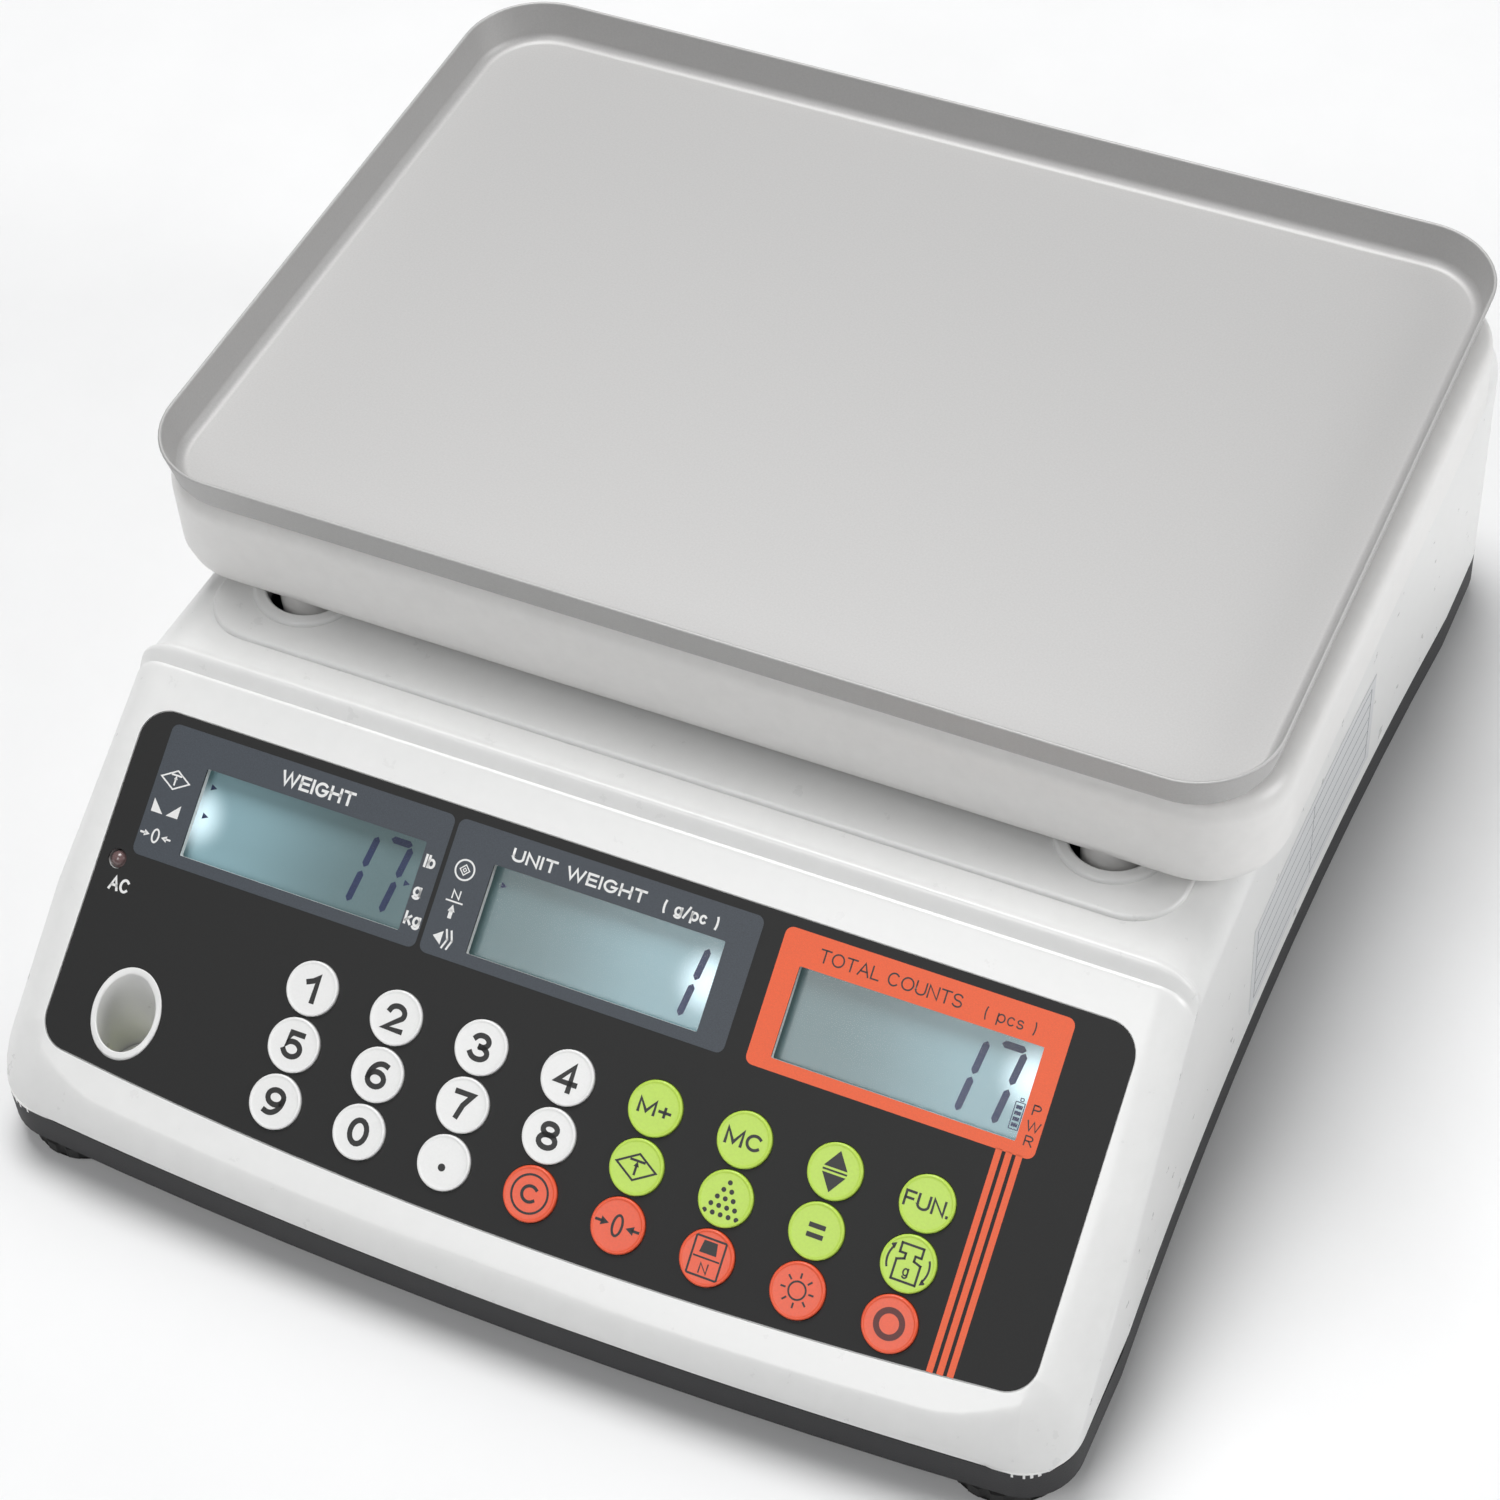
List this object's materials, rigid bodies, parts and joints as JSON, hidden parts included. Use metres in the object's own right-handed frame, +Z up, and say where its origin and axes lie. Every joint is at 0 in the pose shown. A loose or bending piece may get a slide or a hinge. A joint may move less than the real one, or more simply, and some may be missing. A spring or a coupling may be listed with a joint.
{
  "type": "counting scale",
  "caption": "Table-top counting scale: sloping keypad and display panel on a housing with levelling feet, and a lift-off steel pan on a legged carrier over a load cell.",
  "frame": {"origin": "centre of the bounding box's bottom, on the table surface under the feet", "axes": "+Z up, front with the control panel towards -Y, +X to the user's right"},
  "size_m": [0.298, 0.342, 0.1405],
  "materials": {
    "housing": "glossy white moulded plastic",
    "base": "fine-textured black plastic",
    "pan": "satin stainless sheet",
    "carrier": "warm light grey moulded plastic",
    "rubber": "soft black rubber",
    "cast_alloy": "cast aluminium",
    "cell_alloy": "machined aluminium",
    "steel": "zinc-plated steel",
    "fastener": "plated steel fasteners",
    "board": "green circuit board",
    "lcd": "reflective display glass",
    "window": "clear pane",
    "overlay": "fine-grained charcoal sheet",
    "switch": "switch bodies",
    "lamp": "smoked lamp",
    "vial": "green level liquid",
    "battery": "battery case",
    "wire": "insulated leads",
    "key_white": "white key",
    "key_green": "lime green key",
    "key_red": "red-orange key"
  },
  "bodies": {
    "base": {"upper_housing": "housing", "bottom_tray": "base", "load_cell": "cell_alloy", "cell_spacer": "steel", "cell_bolts_lower": "fastener", "base_plate": "steel", "overload_stops": "fastener", "front_board": "board", "main_board": "board", "lcd_weight": "lcd", "lcd_unit_weight": "lcd", "lcd_total": "lcd", "display_windows": "window", "keypad_overlay": "overlay", "key_switches": "switch", "mains_lamp": "lamp", "level_vial": "vial", "battery": "battery", "battery_door": "base", "power_inlet": "switch", "wiring": "wire", "housing_screws": "fastener"},
    "platform": {"spider_bracket": "cast_alloy", "spider_cups": "rubber", "cell_bolts_upper": "fastener"},
    "carrier": {"pan_carrier": "carrier", "pan_pads": "rubber"},
    "pan": {"steel_pan": "pan"},
    "stud_front_left": {"foot_stud_front_left": "fastener"},
    "pad_front_left": {"foot_pad_front_left": "rubber"},
    "stud_front_right": {"foot_stud_front_right": "fastener"},
    "pad_front_right": {"foot_pad_front_right": "rubber"},
    "stud_rear_left": {"foot_stud_rear_left": "fastener"},
    "pad_rear_left": {"foot_pad_rear_left": "rubber"},
    "stud_rear_right": {"foot_stud_rear_right": "fastener"},
    "pad_rear_right": {"foot_pad_rear_right": "rubber"},
    "key_1": {"key_1": "key_white"},
    "key_2": {"key_2": "key_white"},
    "key_3": {"key_3": "key_white"},
    "key_4": {"key_4": "key_white"},
    "key_memory_add": {"key_memory_add": "key_green"},
    "key_memory_clear": {"key_memory_clear": "key_green"},
    "key_up_down": {"key_up_down": "key_green"},
    "key_function": {"key_function": "key_green"},
    "key_5": {"key_5": "key_white"},
    "key_6": {"key_6": "key_white"},
    "key_7": {"key_7": "key_white"},
    "key_8": {"key_8": "key_white"},
    "key_tare": {"key_tare": "key_green"},
    "key_sample": {"key_sample": "key_green"},
    "key_equals": {"key_equals": "key_green"},
    "key_units": {"key_units": "key_green"},
    "key_9": {"key_9": "key_white"},
    "key_0": {"key_0": "key_white"},
    "key_point": {"key_point": "key_white"},
    "key_clear": {"key_clear": "key_red"},
    "key_zero": {"key_zero": "key_red"},
    "key_unit_weight": {"key_unit_weight": "key_red"},
    "key_light": {"key_light": "key_red"},
    "key_power": {"key_power": "key_red"}
  },
  "joints": [
    {"name": "pan_lift", "type": "slide", "parent": "carrier", "child": "pan", "axis": [0, 0, 1], "range_m": [0, 0.06]},
    {"name": "carrier_lift", "type": "slide", "parent": "platform", "child": "carrier", "axis": [0, 0, 1], "range_m": [0, 0.08]},
    {"name": "platform_load", "type": "slide", "parent": "base", "child": "platform", "axis": [0, 0, -1], "range_m": [0, 0.0005], "stiffness_N_per_m": 60000, "springref_m": -0.00028, "deforming": ["load_cell"]},
    {"name": "foot_turn_front_left", "type": "hinge", "parent": "stud_front_left", "child": "pad_front_left", "pos_m": [-0.126, -0.15, 0.003], "axis": [0, 0, 1], "range_deg": [-1450, 280]},
    {"name": "foot_slide_front_left", "type": "slide", "parent": "base", "child": "stud_front_left", "axis": [0, 0, 1], "range_m": [-0.004, 0.00075]},
    {"name": "foot_turn_front_right", "type": "hinge", "parent": "stud_front_right", "child": "pad_front_right", "pos_m": [0.126, -0.15, 0.003], "axis": [0, 0, 1], "range_deg": [-1450, 280]},
    {"name": "foot_slide_front_right", "type": "slide", "parent": "base", "child": "stud_front_right", "axis": [0, 0, 1], "range_m": [-0.004, 0.00075]},
    {"name": "foot_turn_rear_left", "type": "hinge", "parent": "stud_rear_left", "child": "pad_rear_left", "pos_m": [-0.126, 0.15, 0.003], "axis": [0, 0, 1], "range_deg": [-1450, 280]},
    {"name": "foot_slide_rear_left", "type": "slide", "parent": "base", "child": "stud_rear_left", "axis": [0, 0, 1], "range_m": [-0.004, 0.00075]},
    {"name": "foot_turn_rear_right", "type": "hinge", "parent": "stud_rear_right", "child": "pad_rear_right", "pos_m": [0.126, 0.15, 0.003], "axis": [0, 0, 1], "range_deg": [-1450, 280]},
    {"name": "foot_slide_rear_right", "type": "slide", "parent": "base", "child": "stud_rear_right", "axis": [0, 0, 1], "range_m": [-0.004, 0.00075]},
    {"name": "key_1_press", "type": "slide", "parent": "base", "child": "key_1", "axis": [0, 0.5906, -0.807], "range_m": [0, 0.0005], "stiffness_N_per_m": 400},
    {"name": "key_2_press", "type": "slide", "parent": "base", "child": "key_2", "axis": [0, 0.5906, -0.807], "range_m": [0, 0.0005], "stiffness_N_per_m": 400},
    {"name": "key_3_press", "type": "slide", "parent": "base", "child": "key_3", "axis": [0, 0.5906, -0.807], "range_m": [0, 0.0005], "stiffness_N_per_m": 400},
    {"name": "key_4_press", "type": "slide", "parent": "base", "child": "key_4", "axis": [0, 0.5906, -0.807], "range_m": [0, 0.0005], "stiffness_N_per_m": 400},
    {"name": "key_memory_add_press", "type": "slide", "parent": "base", "child": "key_memory_add", "axis": [0, 0.5906, -0.807], "range_m": [0, 0.0005], "stiffness_N_per_m": 400},
    {"name": "key_memory_clear_press", "type": "slide", "parent": "base", "child": "key_memory_clear", "axis": [0, 0.5906, -0.807], "range_m": [0, 0.0005], "stiffness_N_per_m": 400},
    {"name": "key_up_down_press", "type": "slide", "parent": "base", "child": "key_up_down", "axis": [0, 0.5906, -0.807], "range_m": [0, 0.0005], "stiffness_N_per_m": 400},
    {"name": "key_function_press", "type": "slide", "parent": "base", "child": "key_function", "axis": [0, 0.5906, -0.807], "range_m": [0, 0.0005], "stiffness_N_per_m": 400},
    {"name": "key_5_press", "type": "slide", "parent": "base", "child": "key_5", "axis": [0, 0.5906, -0.807], "range_m": [0, 0.0005], "stiffness_N_per_m": 400},
    {"name": "key_6_press", "type": "slide", "parent": "base", "child": "key_6", "axis": [0, 0.5906, -0.807], "range_m": [0, 0.0005], "stiffness_N_per_m": 400},
    {"name": "key_7_press", "type": "slide", "parent": "base", "child": "key_7", "axis": [0, 0.5906, -0.807], "range_m": [0, 0.0005], "stiffness_N_per_m": 400},
    {"name": "key_8_press", "type": "slide", "parent": "base", "child": "key_8", "axis": [0, 0.5906, -0.807], "range_m": [0, 0.0005], "stiffness_N_per_m": 400},
    {"name": "key_tare_press", "type": "slide", "parent": "base", "child": "key_tare", "axis": [0, 0.5906, -0.807], "range_m": [0, 0.0005], "stiffness_N_per_m": 400},
    {"name": "key_sample_press", "type": "slide", "parent": "base", "child": "key_sample", "axis": [0, 0.5906, -0.807], "range_m": [0, 0.0005], "stiffness_N_per_m": 400},
    {"name": "key_equals_press", "type": "slide", "parent": "base", "child": "key_equals", "axis": [0, 0.5906, -0.807], "range_m": [0, 0.0005], "stiffness_N_per_m": 400},
    {"name": "key_units_press", "type": "slide", "parent": "base", "child": "key_units", "axis": [0, 0.5906, -0.807], "range_m": [0, 0.0005], "stiffness_N_per_m": 400},
    {"name": "key_9_press", "type": "slide", "parent": "base", "child": "key_9", "axis": [0, 0.5906, -0.807], "range_m": [0, 0.0005], "stiffness_N_per_m": 400},
    {"name": "key_0_press", "type": "slide", "parent": "base", "child": "key_0", "axis": [0, 0.5906, -0.807], "range_m": [0, 0.0005], "stiffness_N_per_m": 400},
    {"name": "key_point_press", "type": "slide", "parent": "base", "child": "key_point", "axis": [0, 0.5906, -0.807], "range_m": [0, 0.0005], "stiffness_N_per_m": 400},
    {"name": "key_clear_press", "type": "slide", "parent": "base", "child": "key_clear", "axis": [0, 0.5906, -0.807], "range_m": [0, 0.0005], "stiffness_N_per_m": 400},
    {"name": "key_zero_press", "type": "slide", "parent": "base", "child": "key_zero", "axis": [0, 0.5906, -0.807], "range_m": [0, 0.0005], "stiffness_N_per_m": 400},
    {"name": "key_unit_weight_press", "type": "slide", "parent": "base", "child": "key_unit_weight", "axis": [0, 0.5906, -0.807], "range_m": [0, 0.0005], "stiffness_N_per_m": 400},
    {"name": "key_light_press", "type": "slide", "parent": "base", "child": "key_light", "axis": [0, 0.5906, -0.807], "range_m": [0, 0.0005], "stiffness_N_per_m": 400},
    {"name": "key_power_press", "type": "slide", "parent": "base", "child": "key_power", "axis": [0, 0.5906, -0.807], "range_m": [0, 0.0005], "stiffness_N_per_m": 400}
  ],
  "couplings": [
    {"joint": "foot_turn_front_left", "follows": "foot_slide_front_left", "rad_per_m": 6283.2},
    {"joint": "foot_turn_front_right", "follows": "foot_slide_front_right", "rad_per_m": 6283.2},
    {"joint": "foot_turn_rear_left", "follows": "foot_slide_rear_left", "rad_per_m": 6283.2},
    {"joint": "foot_turn_rear_right", "follows": "foot_slide_rear_right", "rad_per_m": 6283.2}
  ]
}
